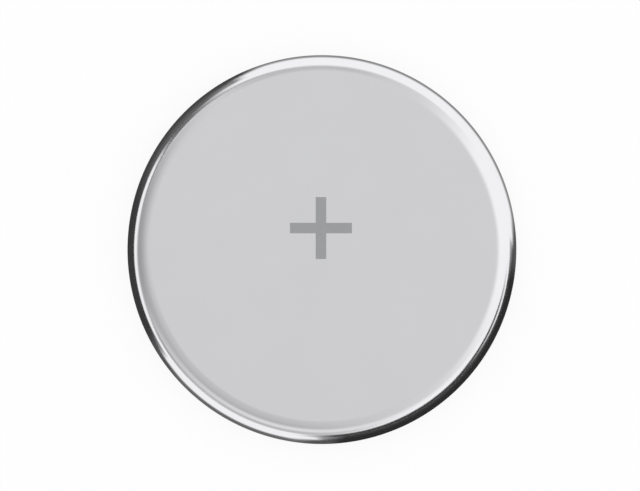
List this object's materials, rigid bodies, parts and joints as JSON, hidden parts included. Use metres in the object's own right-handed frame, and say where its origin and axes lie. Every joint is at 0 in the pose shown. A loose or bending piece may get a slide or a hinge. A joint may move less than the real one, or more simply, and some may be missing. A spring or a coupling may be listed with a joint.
{
  "type": "lithium coin cell",
  "caption": "Round flat battery cell: a steel can with a rounded rim, crimped over a plastic gasket and a stepped steel cap, with a lithium disc, a separator and a pressed pellet inside.",
  "frame": {"origin": "centre of the negative cap's outer face, which the cell lies on", "axes": "+Z along the cell's axis, from the negative face to the positive face; +Y is the side that the picture has at the top"},
  "size_m": [0.02, 0.02, 0.0032],
  "materials": {
    "can_steel": "bright nickel plate over rolled steel",
    "gasket_plastic": "natural polypropylene",
    "cap_steel": "satin nickel plate over rolled steel",
    "lithium": "dull rolled lithium",
    "separator_cloth": "non-woven polypropylene",
    "cathode_mix": "pressed manganese dioxide with graphite",
    "ring_steel": "satin stainless steel"
  },
  "bodies": {
    "root": {"positive_can": "can_steel", "gasket": "gasket_plastic", "negative_cap": "cap_steel", "lithium_anode": "lithium", "separator": "separator_cloth", "cathode_pellet": "cathode_mix", "collector_ring": "ring_steel"}
  },
  "joints": []
}
